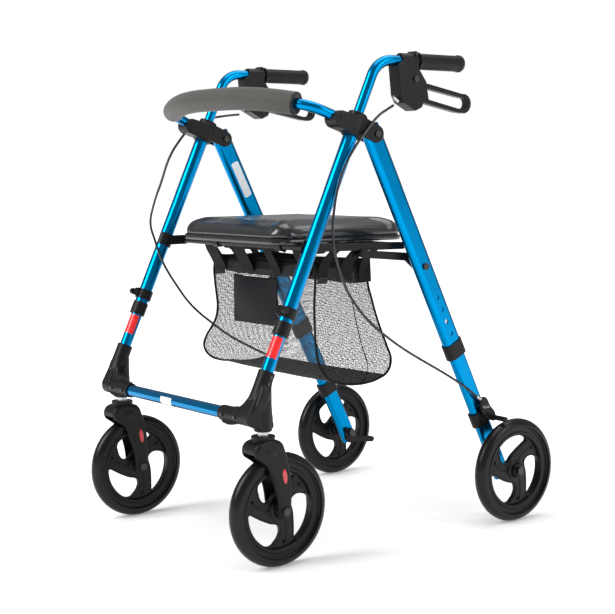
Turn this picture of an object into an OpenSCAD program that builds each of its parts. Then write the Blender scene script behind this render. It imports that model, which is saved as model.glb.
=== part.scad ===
// Four-wheeled folding rollator walker with seat, basket and loop brakes.
// +X is the user's left, -Y is the walking direction, +Z is up.

/* [Wheels] */
// Diameter of all four wheels
wheel_d = 200; // [180:1:205]
// Width of the tyres
tyre_w = 28; // [24:1:30]
// Distance between the front and rear axles
wheelbase = 540; // [520:1:560]
// Distance between the middles of the two rear wheels
rear_track = 550; // [546:1:560]
// How far the front wheels trail behind their swivel pins
trail = 30; // [25:1:32]

/* [Frame] */
// Distance between the centre lines of the two side frames
side_span = 468; // [460:1:470]
// Lean of the front legs from upright
front_lean = 25; // [24:0.5:26]
// Height of the centre of the handles
handle_z = 874; // [864:1:884]
// Outer diameter of the upper front legs
leg_d = 25.4; // [25:0.2:26]
// Outer diameter of the lower front legs and the crossbar
inner_leg_d = 22; // [21:0.2:22]
// Outer diameter of the handle tubes and the backrest tube
tube_d = 19; // [18:0.5:20]
// Long side of the oval rear legs
oval_w = 40; // [38:1:42]
// Short side of the oval rear legs
oval_t = 20; // [19:1:21]
// Wall of the tubes
wall = 1.5; // [1.2:0.1:1.6]

/* [Seat] */
// Width of the seat pad
seat_w = 324; // [300:1:330]
// Front-to-back length of the seat pad
seat_len = 300; // [280:1:310]
// Thickness of the seat pad
seat_t = 32; // [28:1:36]
// Height of the underside of the seat board
seat_z = 552; // [551:1:556]

/* [Backrest] */
// Diameter of the foam sleeve
foam_d = 42; // [38:1:46]
// Radius of the two wide bends of the backrest
backrest_r = 340; // [330:1:350]

/* [Basket] */
// Width of the basket at the rim
bag_w = 312; // [290:1:320]
// Height of the basket
bag_h = 231; // [210:1:240]

/* [Hidden] */

$fn = 48;
fit = 0.05;      // radial clearance of running pins
gap = 0.3;       // clearance between parts that slide past each other
tiny = 1;        // how far a straight length runs into the bend it joins
slim = 0.1;      // how much thinner it is there, so that their skins don't coincide

leg_x = side_span / 2;
wheel_r = wheel_d / 2;
leg_r = leg_d / 2;
inner_r = inner_leg_d / 2;
tube_r = tube_d / 2;

// swivel pin, axles
front_y = -wheelbase / 2;
rear_y = wheelbase / 2;
stem_y = front_y - trail;
knee_z = 320;    // height where the front leg's line crosses the swivel pin
rear_x = rear_track / 2;
pin_r = 5;       // axles and swivel pins

// stations along the front leg, measured up from where it crosses the swivel pin
s_casting = 24;
s_sleeve = 88;
s_collar = 120;
s_leg_end = 100;
s_lower_top = 240;
s_bracket = 462;
bracket_h = 43;
s_leg_top = 498;

// fold pivot of the rear leg and the backrest boss, across the front leg
pivot_w = 43;
pivot_s = 487;
boss_w = -40;
boss_s = 476;
pivot_y = stem_y + pivot_s * sin(front_lean) + pivot_w * cos(front_lean);
pivot_z = knee_z + pivot_s * cos(front_lean) - pivot_w * sin(front_lean);
rear_len = sqrt(pow(rear_y - pivot_y, 2) + pow(pivot_z - wheel_r, 2));
rear_lean = atan((rear_y - pivot_y) / (pivot_z - wheel_r));

// stations along the rear leg, measured up from the rear axle
t_bottom = -20;
t_sleeve = 257;
sleeve_h = 30;
t_button = 333;
hole_pitch = 26;
t_link = 451.5;
t_clamp = 104;
t_top = rear_len + 14;

// handle tube
bend_r = 50;
corner_s = (handle_z - knee_z) / cos(front_lean);
bend_t = bend_r * tan((90 - front_lean) / 2);
bend_y = stem_y + corner_s * sin(front_lean) + bend_t;
grip_y = 50;
grip_len = 110;
grip_r = 14.5;

// seat linkage pivots, as [y, z]
seat_pivot = [-158, 544];
knee_pivot = [-60, 530];
link_pivot = [rear_y - t_link * sin(rear_lean), wheel_r + t_link * cos(rear_lean)];
rail_x = 204;
rail_r = 7;

// brake
lever_pivot = [38, 842];
arm_pivot = [222, 212];
shoe_y = 236;
shoe_z = 203.5;

seat_front = -207;
bag_top = 516;

// backrest: a straight middle, two wide bends, two tight ones and a straight end in each bracket
bow_angle = 28;  // turn of a wide bend
end_angle = 78;  // turn of both bends together
corner_r = 45;   // radius of a tight bend
corner_gap = 4;  // straight length between the two bends
end_len = 40;
bow_tilt = 21;
bow_end = [-125, 769];
corner_x = leg_x - end_len * cos(end_angle) - corner_r * sin(end_angle);
corner_y = backrest_r - (backrest_r - corner_r) * cos(bow_angle) + corner_gap * sin(bow_angle);
bow_half = corner_x - (backrest_r - corner_r) * sin(bow_angle) - corner_gap * cos(bow_angle);
end_y = corner_y - corner_r * cos(end_angle);
bow_y = bow_end[0] - (end_y + end_len * sin(end_angle)) * cos(bow_tilt);
bow_z = bow_end[1] + (end_y + end_len * sin(end_angle)) * sin(bow_tilt);

blue = [0.0, 0.5, 0.78];
black = [0.12, 0.12, 0.12];
steel = [0.75, 0.76, 0.78];

// ---- shapes used by several parts ----

// Places children in the front leg's own axes: Z runs up the leg, Y across it to the rear
module on_front(side = 1) {
    translate([side * leg_x, stem_y, knee_z]) rotate([-front_lean, 0, 0]) children();
}

// Places children in the rear leg's own axes: Z runs up the leg from the rear axle
module on_rear(side = 1) {
    translate([side * leg_x, rear_y, wheel_r]) rotate([rear_lean, 0, 0]) children();
}

// Mirrors children drawn for the left side when the part is on the right
module on_side(side) {
    mirror([side > 0 ? 0 : 1, 0, 0]) children();
}

// Turns a flat outline drawn in Y and Z into a plate from x0 to x1
module side_plate(x0, x1) {
    translate([x0, 0, 0]) rotate([90, 0, 90]) linear_extrude(x1 - x0) children();
}

// A cylinder along X, centred on (y, z)
module x_bar(x0, x1, y, z, r) {
    translate([x0, y, z]) rotate([0, 90, 0]) cylinder(r = r, h = x1 - x0);
}

// Outline of a straight bar between two points, with a round end of its own radius at each
function end_arc(c, r, from) = [for (i = [0 : 12]) c + r * [cos(from + i * 15), sin(from + i * 15)]];
function strap_points(a, b, ra, rb) = let (t = atan2(b[1] - a[1], b[0] - a[0]))
    concat(end_arc(b, rb, t - 90), end_arc(a, ra, t + 90));

module strap_2d(a, b, ra, rb = 0) {
    polygon(strap_points(a, b, ra, rb > 0 ? rb : ra));
}

module oval_2d(w, t) {
    square([t, w - t], center = true);
    for (s = [-1, 1]) translate([0, s * (w - t) / 2]) circle(d = t);
}

module oval_tube(w, t, h) {
    linear_extrude(h) difference() {
        oval_2d(w, t);
        oval_2d(w - 2 * wall, t - 2 * wall);
    }
}

module pipe(r, h, thick = wall) {
    difference() {
        cylinder(r = r, h = h);
        translate([0, 0, -1]) cylinder(r = r - thick, h = h + 2);
    }
}

// ---- side frames ----

module front_leg(side) {
    color(blue) on_front(side) translate([0, 0, s_leg_end]) pipe(leg_r, s_leg_top - s_leg_end);
}

module front_leg_sleeves() {
    color(black) for (side = [-1, 1]) on_front(side) translate([0, 0, s_sleeve]) difference() {
        cylinder(r = leg_r + 2, h = 25);
        translate([0, 0, -1]) cylinder(r = inner_r + gap, h = 27);
        translate([0, 0, s_leg_end - s_sleeve]) cylinder(r = leg_r, h = 20);
    }
}

module height_clamps() {
    color(black) for (side = [-1, 1]) on_front(side) translate([0, 0, s_collar]) {
        difference() {
            union() {
                cylinder(r = leg_r + 3, h = 19);
                translate([-6, -leg_r - 8, 2]) cube([12, 10, 15]);
            }
            translate([0, 0, -1]) cylinder(r = leg_r, h = 21);
            translate([-1, -leg_r - 10, -1]) cube([2, 12, 21]);
        }
        translate([side * 6 - 4.9, -leg_r - 5, 9.5]) rotate([0, 90, 0]) cylinder(r = 3, h = 9.8);
        translate([side * 10.5, -leg_r - 5, 9.5]) rotate([0, side * 90, 0]) cylinder(r = 6, h = 8);
    }
}

module handle_path(r) {
    foot_s = s_leg_top - 30;
    on_front(1) translate([0, 0, foot_s]) cylinder(r = r - slim, h = corner_s - bend_t - foot_s + tiny);
    translate([leg_x, bend_y, handle_z - bend_r]) rotate([90, 0, 90])
        rotate_extrude(start = 90, angle = 90 - front_lean) translate([bend_r, 0]) circle(r);
    translate([leg_x, bend_y - tiny, handle_z]) rotate([-90, 0, 0])
        cylinder(r = r - slim, h = grip_y + grip_len - 6 - bend_y + tiny);
}

module handle_tubes() {
    color(blue) for (m = [0, 1]) mirror([m, 0, 0]) handle_path(tube_r);
}

module handle_grips() {
    color(black) for (side = [-1, 1]) translate([side * leg_x, grip_y, handle_z]) rotate([-90, 0, 0])
        difference() {
            union() {
                cylinder(r = grip_r, h = grip_len);
                cylinder(r = grip_r + 2, h = 5);
                translate([0, 0, grip_len - 8]) cylinder(r = grip_r + 1, h = 8);
            }
            translate([0, 0, -1]) cylinder(r = tube_r, h = grip_len - 5);
        }
}

// Casting in two halves that clamps the leg, the backrest tube and the fold pivot
module bracket_outline() {
    strap_2d([boss_w, boss_s], [0, 482], 15, 16);
    strap_2d([0, 484], [pivot_w, pivot_s], 17, 15.5);
}

module bracket_half(side, inner) {
    out = (inner ? -1 : 1) * side;   // which way this half faces along X
    difference() {
        union() {
            intersection() {
                translate([0, 0, s_bracket]) cylinder(r = 17.5, h = bracket_h);
                translate([out > 0 ? 0.2 : -20.2, -20, s_bracket - 1]) cube([20, 40, bracket_h + 2]);
            }
            side_plate(out > 0 ? 0.2 : -16.5, out > 0 ? 16.5 : -0.2) bracket_outline();
        }
        translate([0, 0, s_bracket - 1]) cylinder(r = leg_r, h = s_leg_top - s_bracket + 1);
        translate([0, 0, s_leg_top - 1]) cylinder(r = tube_r, h = 20);
        // room for the flat top of the rear leg between the two plates
        translate([-oval_t / 2 - gap, 18.5, 440]) cube([oval_t + 2 * gap, 60, 80]);
        x_bar(-30, 30, pivot_w, pivot_s, 4);
    }
}

module fold_bracket(side) {
    color(black) difference() {
        on_front(side) {
            bracket_half(side, true);
            bracket_half(side, false);
        }
        mirror([side > 0 ? 0 : 1, 0, 0]) backrest_end(tube_r);
    }
}

module bracket_bolts() {
    color(steel) for (side = [-1, 1]) on_front(side) {
        x_bar(-18, 18, pivot_w, pivot_s, 4);
        for (e = [-1, 1]) translate([e * 18, pivot_w, pivot_s]) rotate([0, 90, 0])
            cylinder(r = 6, h = 3, center = true);
    }
}

// ---- backrest ----

module in_bow() {
    translate([0, bow_y, bow_z]) rotate([-bow_tilt, 0, 0]) children();
}

// A straight length between two bends, from (x, y), running a little into both
module bow_run(x, y, angle, length, r) {
    translate([x, y, 0]) rotate([0, 0, angle]) rotate([0, 90, 0])
        translate([0, 0, -tiny]) cylinder(r = r - slim, h = length + 2 * tiny);
}

module backrest_end(r) {
    in_bow() bow_run(corner_x + corner_r * sin(end_angle), end_y, end_angle, end_len - tiny, r);
}

module bow_path(r, angle) {
    for (m = [0, 1]) mirror([m, 0, 0]) translate([bow_half, backrest_r, 0])
        rotate_extrude(start = -90, angle = angle) translate([backrest_r, 0]) circle(r);
    bow_run(-bow_half, 0, 0, 2 * bow_half, r);
}

module bow_corner(r) {
    bow_run(bow_half + backrest_r * sin(bow_angle), backrest_r * (1 - cos(bow_angle)),
        bow_angle, corner_gap, r);
    translate([corner_x, corner_y, 0])
        rotate_extrude(start = bow_angle - 90, angle = end_angle - bow_angle)
            translate([corner_r, 0]) circle(r);
}

module backrest_tube() {
    color(blue) {
        in_bow() bow_path(tube_r, bow_angle);
        for (m = [0, 1]) mirror([m, 0, 0]) {
            in_bow() bow_corner(tube_r);
            backrest_end(tube_r);
        }
    }
}

module backrest_foam() {
    color([0.25, 0.25, 0.24]) in_bow() difference() {
        bow_path(foam_d / 2, bow_angle - 1);
        bow_path(tube_r, bow_angle);
    }
}

// ---- brake levers ----

module housing_outline() {
    polygon([[-4, 866], [2, 812], [10, 799], [38, 785], [54, 792], [66, 826], [64, 838], [46, 861],
        [46, 874], [10, 874]]);
}

module lever_slot() {
    polygon([[12, 850], [14, 812], [36, 790], [90, 780], [90, 850], [50, 854]]);
}

module lever_housing(side) {
    color(black) translate([side * leg_x, 0, 0]) difference() {
        union() {
            side_plate(-14, 14) housing_outline();
            translate([0, 10, handle_z]) rotate([-90, 0, 0]) cylinder(r = 14, h = 38);
            x_bar(-10, 10, 42, handle_z + 13, 5);
        }
        side_plate(-8.5, 8.5) lever_slot();
        translate([0, bend_y, handle_z]) rotate([-90, 0, 0]) cylinder(r = tube_r, h = 80);
        intersection() {
            translate([-side * leg_x, 0, 0]) mirror([side > 0 ? 0 : 1, 0, 0]) handle_path(tube_r + 0.4);
            translate([-20, -60, 800]) cube([40, bend_y + 60, 90]);
        }
        x_bar(-20, 20, lever_pivot[0], lever_pivot[1], 3.5);
    }
}

module lever_screws() {
    color(steel) for (side = [-1, 1]) translate([side * leg_x, 0, 0]) {
        x_bar(-14, 14, lever_pivot[0], lever_pivot[1], 3.5);
        on_side(side) x_bar(14, 17, lever_pivot[0], lever_pivot[1], 6);
        on_side(side) x_bar(10, 13, 42, handle_z + 13, 3);
    }
}

module loop_outline() {
    polygon([[58, 838], [150, 821], [162, 818.6], [162, 784.2], [150, 784], [58, 801], [44, 812], [31, 839],
        [40, 849]]);
    translate([165, 801]) circle(18);
    translate(lever_pivot) circle(8);
}

module brake_lever(side) {
    color(black) translate([side * leg_x, 0, 0]) difference() {
        side_plate(-8, 8) loop_outline();
        side_plate(-9, 9) {
            polygon([[72, 826], [150, 813], [164, 811], [164, 792], [152, 791.5], [76, 806.5]]);
            translate([164, 801.5]) circle(9.7);
        }
        x_bar(-20, 20, lever_pivot[0], lever_pivot[1], 3.5 + fit);
    }
}

module cable_adjusters() {
    color(steel) for (side = [-1, 1]) translate([side * (leg_x + 4), 3, 802]) rotate([57, 0, 0])
        cylinder(r1 = 4, r2 = 3.5, h = 13);
}

// ---- brake cables: sheathed cables that the levers and the rear brakes hold ----

cable_r = 2.5;
cable_ring = [for (i = [0 : 7]) [cos(i * 45), sin(i * 45)]];
left_route = [
    [238, -8, 794], [246, -30, 786], [255, -58, 774], [255, -84, 750], [254, -112, 718],
    [253, -134, 685], [252, -147, 652], [251, -155, 615], [250, -158, 578], [250, -154, 542],
    [250, -143, 506], [250, -126, 470], [250, -100, 436], [250, -68, 406], [250, -32, 380],
    [250, 6, 356], [250, 46, 334], [250, 88, 312], [250, 130, 289], [250, 168, 266], [251, 190, 250],
    [251, 200, 244]
];
right_route = [
    [-238, -8, 794], [-242, -38, 791], [-250, -66, 786], [-256, -88, 778], [-257, -120, 761],
    [-255, -145, 738], [-249, -172, 705], [-242, -196, 658], [-234, -220, 612],
    [-225, -233, 577], [-213, -231, 545],
    [-206, -222, 510], [-206, -205, 480], [-208, -184, 452], [-212, -160, 424], [-216, -130, 397],
    [-218, -96, 372], [-220, -58, 346], [-222, -14, 322], [-224, 36, 298], [-230, 86, 279],
    [-240, 130, 264], [-250, 166, 252], [-251, 188, 247], [-251, 200, 244]
];

function unit(v) = v / norm(v);
function along(route, i) = unit(route[min(i + 1, len(route) - 1)] - route[max(i - 1, 0)]);
function side_of(d) = unit(cross(d, [1, 0.3, 0]));
function ring_at(route, i, r) = let (d = along(route, i), u = side_of(d), v = cross(d, u))
    [for (c = cable_ring) route[i] + r * (c[0] * u + c[1] * v)];

module cable(route) {
    n = len(route);
    m = len(cable_ring);
    points = [for (i = [0 : n - 1]) each ring_at(route, i, cable_r)];
    walls = [for (i = [0 : n - 2]) for (j = [0 : m - 1]) let (k = (j + 1) % m)
        each [[i * m + j, i * m + k, (i + 1) * m + k], [i * m + j, (i + 1) * m + k, (i + 1) * m + j]]];
    near = [for (j = [m - 1 : -1 : 0]) j];
    far = [for (j = [0 : m - 1]) (n - 1) * m + j];
    polyhedron(points, concat([near, far], walls));
}

module brake_cable_left() {
    color(black) cable(left_route);
}

module brake_cable_right() {
    color(black) cable(right_route);
}

// ---- front base ----

module lower_legs() {
    color(blue) for (side = [-1, 1]) on_front(side) translate([0, 0, -8]) pipe(inner_r, s_lower_top + 8);
}

bar_s = -61;     // station of the crossbar along the front leg's line
bar_y = stem_y + bar_s * sin(front_lean);
bar_z = knee_z + bar_s * cos(front_lean);
bar_end = 196;   // how far the crossbar reaches into its sockets
socket_x = 153;

module crossbar() {
    color(blue) translate([-bar_end, bar_y, bar_z]) rotate([0, 90, 0]) pipe(inner_r, 2 * bar_end);
}

module bracket_screws() {
    color(steel) for (side = [-1, 1]) bracket_screw_pins(side);
}

module bracket_screw_pins(side) {
    for (s = [3, 15]) on_front(side) on_side(side) x_bar(14.6, 17.2, 0, s, 3);
    for (x = [168, 206]) translate([side * x, bar_y - 13.6, bar_z]) rotate([90, 0, 0])
        cylinder(r = 3, h = 2.6);
}

module caster_bracket(side) {
    color(black) difference() {
        union() {
            on_front(side) translate([0, 0, -30]) cylinder(r = 15, h = s_casting + 30);
            translate([side * leg_x, stem_y, 240]) cylinder(r = 15.5, h = 76);
            on_side(side) x_bar(socket_x, leg_x + 10, bar_y, bar_z, 14);
            side_plate(side * leg_x - 12, side * leg_x + 12)
                polygon([[bar_y - 13.5, bar_z + 6], [stem_y - 12, 318], [stem_y + 8, 312],
                    [stem_y + 15, 246], [stem_y - 12, 244], [bar_y - 2, bar_z - 13]]);
        }
        on_front(side) translate([0, 0, -8]) cylinder(r = inner_r, h = 60);
        on_side(side) x_bar(bar_end - 100, bar_end, bar_y, bar_z, inner_r);
        translate([side * leg_x, stem_y, 230]) cylinder(r = pin_r + fit, h = 62);
        bracket_screw_pins(side);
    }
}

// ---- casters ----

module caster_stem(side) {
    color(steel) translate([side * leg_x, stem_y, 0]) {
        translate([0, 0, 215]) cylinder(r = pin_r, h = 74);
        translate([0, 0, 233]) cylinder(r = 10, h = 6.5);
    }
}

module fork_blade(x) {
    hull() {
        translate([x, stem_y + 2, 211]) rotate([0, 90, 0]) cylinder(r = 14, h = 6, $fn = 32);
        translate([x, stem_y + 14, 178]) rotate([0, 90, 0]) cylinder(r = 15, h = 6, $fn = 32);
    }
    hull() {
        translate([x, stem_y + 14, 178]) rotate([0, 90, 0]) cylinder(r = 15, h = 6, $fn = 32);
        translate([x, front_y, wheel_r]) rotate([0, 90, 0]) cylinder(r = 11, h = 6, $fn = 32);
    }
}

module caster_fork(side) {
    color(black) translate([side * leg_x, 0, 0]) difference() {
        union() {
            translate([0, stem_y, 223]) cylinder(r = 20.5, h = 10);
            translate([0, stem_y, 206]) cylinder(r1 = 27, r2 = 20, h = 17.5);
            fork_blade(17);
            fork_blade(-23);
        }
        translate([0, stem_y, 213]) cylinder(r = pin_r, h = 30);
        x_bar(-40, 40, front_y, wheel_r, 4);
    }
}

module front_axle(side) {
    color(steel) translate([side * leg_x, 0, 0]) {
        x_bar(-25, 25, front_y, wheel_r, 4);
        x_bar(23, 27, front_y, wheel_r, 7);
        x_bar(-27, -23, front_y, wheel_r, 7);
    }
}

// ---- wheels ----

rim_r = wheel_r - 14;

// Comma-shaped opening between two spokes, as [radius, angle] from its blunt end round to its tip
comma = [[59, 139], [62.5, 133], [64.5, 126], [64.5, 112], [64.5, 98], [64.5, 84], [64.5, 72], [64, 64],
    [61.5, 61], [57, 63], [50, 71], [43, 81], [38, 92], [34.5, 104], [31.5, 118], [29.5, 131], [30, 141],
    [33, 148], [38, 150.5], [44, 149], [50, 146], [55, 143]];

// Wheel centre with three swept spokes, drawn in the plane of the wheel
module rim(x, y, bore_r, hub_half) {
    translate([x, y, wheel_r]) rotate([90, 0, 90]) difference() {
        union() {
            rotate_extrude() polygon([[66, -7], [rim_r, -11], [rim_r, 11], [66, 7]]);
            linear_extrude(12, center = true) difference() {
                circle(70);
                for (i = [0 : 2]) rotate(i * 120) polygon([for (p = comma) p[0] * [cos(p[1]), sin(p[1])]]);
            }
            cylinder(r = 15, h = 2 * hub_half, center = true);
        }
        cylinder(r = bore_r + fit, h = 60, center = true);
    }
}

module tyre(x, y) {
    translate([x, y, wheel_r]) rotate([90, 0, 90]) rotate_extrude() difference() {
        union() {
            translate([wheel_r - 14, 0]) circle(14);
            translate([rim_r - 1, -tyre_w / 2 + 3]) square([4, tyre_w - 6]);
        }
        translate([0, -20]) square([rim_r, 40]);
    }
}

module front_rim(side) {
    color([0.1, 0.1, 0.1]) rim(side * leg_x, front_y, 4, 16.5);
}

module front_tyre(side) {
    color([0.08, 0.08, 0.08]) tyre(side * leg_x, front_y);
}

module rear_rim(side) {
    color([0.1, 0.1, 0.1]) rim(side * rear_x, rear_y, pin_r, 15.5);
}

module rear_tyre(side) {
    color([0.08, 0.08, 0.08]) tyre(side * rear_x, rear_y);
}

// ---- rear legs ----

module rear_leg(side) {
    color(blue) on_rear(side) difference() {
        translate([0, 0, t_sleeve + 8]) oval_tube(oval_w, oval_t, t_top - t_sleeve - 8);
        x_bar(-20, 20, 0, rear_len, 4 + fit);
        x_bar(-20, 20, 0, t_link, 4);
        for (i = [-1 : 2]) translate([side > 0 ? 0 : -20, 0, t_button + i * hole_pitch]) rotate([0, 90, 0])
            cylinder(r = 4.5, h = 20);
    }
}

module rear_leg_sleeves() {
    color(black) for (side = [-1, 1]) on_rear(side) translate([0, 0, t_sleeve]) difference() {
        linear_extrude(sleeve_h) oval_2d(oval_w + 5, oval_t + 5);
        translate([0, 0, -1]) linear_extrude(60) oval_2d(oval_w - 3, oval_t - 3);
        translate([0, 0, 8]) linear_extrude(60) oval_2d(oval_w, oval_t);
    }
}

// Rivets that hold the side links to the rear legs
module link_bolts() {
    color(steel) for (side = [-1, 1]) on_rear(side) {
        on_side(side) x_bar(-16.6, 13, 0, t_link, 4);
        on_side(side) x_bar(10, 13, 0, t_link, 6.5);
        on_side(side) x_bar(-16.6, -10, 0, t_link, 7);
    }
}

module leg_extension(side) {
    color(blue) on_rear(side) difference() {
        translate([0, 0, t_bottom]) oval_tube(oval_w - 3 - 2 * gap, oval_t - 3 - 2 * gap, 390 - t_bottom);
        x_bar(-20, 20, 0, 0, pin_r);
        translate([0, 0, t_button]) rotate([0, side * 90, 0]) cylinder(r = 4 + fit, h = 20);
    }
}

// Spring button inside the leg extension, behind the row of holes
module snap_button(side) {
    color(steel) on_rear(side) translate([0, 0, t_button]) rotate([0, side * 90, 0]) {
        cylinder(r = 4, h = 8.1);
        translate([0, 0, 1]) cylinder(r = 5.2, h = 2);
    }
}

module brake_clamp(side) {
    color(black) difference() {
        union() {
            on_rear(side) translate([0, 0, t_clamp]) linear_extrude(28) oval_2d(oval_w + 5, oval_t + 3);
            on_side(side) side_plate(leg_x + 9.5, leg_x + 13.5)
                polygon([[206, 206], [213, 221], [226, 221], [233, 210], [226, 190], [214, 190]]);
            on_side(side) x_bar(leg_x + 9, leg_x + 21, arm_pivot[0], arm_pivot[1], 3);
        }
        on_rear(side) translate([0, 0, t_clamp - 1]) linear_extrude(40)
            oval_2d(oval_w - 3 - 2 * gap, oval_t - 3 - 2 * gap);
    }
}

// Arm that swings on the clamp and presses its shoe on the tyre
module brake_arm(side) {
    color(black) difference() {
        union() {
            on_side(side) side_plate(leg_x + 14, leg_x + 20) {
                strap_2d([210, 238], arm_pivot, 8);
                strap_2d(arm_pivot, [shoe_y, shoe_z], 7);
            }
            on_side(side) x_bar(leg_x + 14, rear_x + 12, shoe_y, shoe_z, 5);
        }
        on_side(side) x_bar(200, 300, arm_pivot[0], arm_pivot[1], 3 + fit);
    }
}

// Foot pedal that tips the walker over a kerb
module tip_lever(side) {
    color(black) difference() {
        on_side(side) side_plate(leg_x - 19, leg_x - 9.2) {
            strap_2d([264, 86], [330, 78], 6);
            strap_2d([268, 100], [272, 86], 10);
        }
        on_rear(side) translate([0, 0, -60]) linear_extrude(200) oval_2d(oval_w - 3, oval_t - 3);
        on_side(side) x_bar(200, 300, rear_y, wheel_r, pin_r);
    }
}

module rear_axle(side) {
    color(steel) on_side(side) {
        x_bar(212, 293, rear_y, wheel_r, pin_r);
        x_bar(211, 215, rear_y, wheel_r, 8);
        x_bar(291, 295, rear_y, wheel_r, 8);
        x_bar(leg_x + 8.4, 259, rear_y, wheel_r, 8);
    }
}

// ---- seat ----

// Lugs on the front legs that carry the seat frame's front tube
module seat_lugs() {
    lug_s = (seat_pivot[1] - knee_z) / cos(front_lean);
    color(black) for (side = [-1, 1]) {
        difference() {
            union() {
                intersection() {
                    on_front(side) translate([0, 0, lug_s - 12]) cylinder(r = leg_r + 3, h = 24);
                    on_side(side) translate([leg_x - 20, -260, 500]) cube([16, 130, 90]);
                }
                on_side(side) side_plate(leg_x - 18, leg_x - 12) strap_2d([-190, 544], seat_pivot, 9);
                on_side(side) x_bar(208, leg_x - 12, seat_pivot[0], seat_pivot[1], 4);
            }
            on_front(side) translate([0, 0, lug_s - 20]) cylinder(r = leg_r, h = 40);
        }
    }
}

module seat_frame() {
    color(black) for (side = [-1, 1]) on_side(side) difference() {
        union() {
            x_bar(0, 211, seat_pivot[0], seat_pivot[1], rail_r);
            side_plate(rail_x - 6.5, rail_x + 6.5) strap_2d(seat_pivot, [40, 541], 6.5);
            side_plate(194, 198) strap_2d([-60, 541], knee_pivot, 9);
            x_bar(195, 218, knee_pivot[0], knee_pivot[1], 3);
        }
        x_bar(205, 230, seat_pivot[0], seat_pivot[1], 4 + fit);
    }
    color(black) x_bar(-rail_x, rail_x, 30, 541, 6);
}

module side_links() {
    color(black) for (side = [-1, 1]) on_side(side) difference() {
        side_plate(212, 217) {
            strap_2d(knee_pivot, [50, 520], 7, 7.5);
            strap_2d([48, 519], link_pivot, 8, 7);
        }
        x_bar(200, 230, knee_pivot[0], knee_pivot[1], 3 + fit);
    }
}

module rounded_slab(w, l, h, r) {
    for (x = [-1, 1]) for (y = [0, 1])
        translate([x * (w / 2 - r), seat_front + r + y * (l - 2 * r), 0]) cylinder(r = r, h = h);
    translate([-w / 2 + r, seat_front, 0]) cube([w - 2 * r, l, h]);
    translate([-w / 2, seat_front + r, 0]) cube([w, l - 2 * r, h]);
}

module seat_board() {
    color(black) {
        translate([0, 0, seat_z]) rounded_slab(seat_w - 6, seat_len - 6, 8, 24);
        for (x = [-100, 100]) difference() {
            side_plate(x - 8, x + 8) strap_2d(seat_pivot, [seat_pivot[0], seat_z + 1], rail_r + 3);
            x_bar(x - 20, x + 20, seat_pivot[0], seat_pivot[1], rail_r + fit);
            translate([x - 20, seat_pivot[0] - 20, seat_z + 2]) cube([40, 40, 20]);
        }
    }
}

module seat_pad() {
    color([0.15, 0.15, 0.15]) translate([0, 0, seat_z + 8]) hull() {
        rounded_slab(seat_w, seat_len, 16, 28);
        translate([0, 0, 0]) rounded_slab(seat_w - 10, seat_len - 10, seat_t - 4, 28);
    }
}

// ---- basket ----

module bag_layer(w, y0, y1, z) {
    translate([-w / 2, y0, z]) cube([w, y1 - y0, 1]);
}

module basket_bag() {
    z0 = bag_top - bag_h;
    color([0.2, 0.2, 0.2]) difference() {
        hull() {
            bag_layer(bag_w, -125, 8, bag_top - 1);
            bag_layer(bag_w + 68, -134, 48, z0);
        }
        hull() {
            bag_layer(bag_w - 6, -122, 5, bag_top);
            bag_layer(bag_w + 62, -131, 45, z0 + 3);
        }
    }
}

front_leg(1);  // front_leg_left
front_leg(-1);  // front_leg_right
handle_tubes();
fold_bracket(1);  // fold_bracket_left
fold_bracket(-1);  // fold_bracket_right
bracket_bolts();
backrest_tube();
backrest_foam();
handle_grips();
lever_housing(1);  // lever_housing_left
lever_housing(-1);  // lever_housing_right
lever_screws();
cable_adjusters();
brake_cable_left();
brake_cable_right();
front_leg_sleeves();
height_clamps();
seat_lugs();
basket_bag();
lower_legs();
crossbar();
caster_bracket(1);  // caster_bracket_left
caster_bracket(-1);  // caster_bracket_right
bracket_screws();
caster_stem(1);  // caster_stem_left
caster_stem(-1);  // caster_stem_right
caster_fork(1);  // caster_fork_left
caster_fork(-1);  // caster_fork_right
front_axle(1);  // front_axle_left
front_axle(-1);  // front_axle_right
front_rim(1);  // front_rim_left
front_rim(-1);  // front_rim_right
front_tyre(1);  // front_tyre_left
front_tyre(-1);  // front_tyre_right
rear_leg(1);  // rear_leg_left
rear_leg(-1);  // rear_leg_right
rear_leg_sleeves();
link_bolts();
leg_extension(1);  // leg_extension_left
leg_extension(-1);  // leg_extension_right
snap_button(1);  // snap_button_left
snap_button(-1);  // snap_button_right
brake_clamp(1);  // brake_clamp_left
brake_clamp(-1);  // brake_clamp_right
brake_arm(1);  // brake_arm_left
brake_arm(-1);  // brake_arm_right
tip_lever(1);  // tip_lever_left
tip_lever(-1);  // tip_lever_right
rear_axle(1);  // rear_axle_left
rear_axle(-1);  // rear_axle_right
rear_rim(1);  // rear_rim_left
rear_rim(-1);  // rear_rim_right
rear_tyre(1);  // rear_tyre_left
rear_tyre(-1);  // rear_tyre_right
brake_lever(1);  // brake_lever_left
brake_lever(-1);  // brake_lever_right
seat_frame();
side_links();
seat_board();
seat_pad();
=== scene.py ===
import math

import bmesh
import bpy
from mathutils import Matrix, Vector, noise


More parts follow.
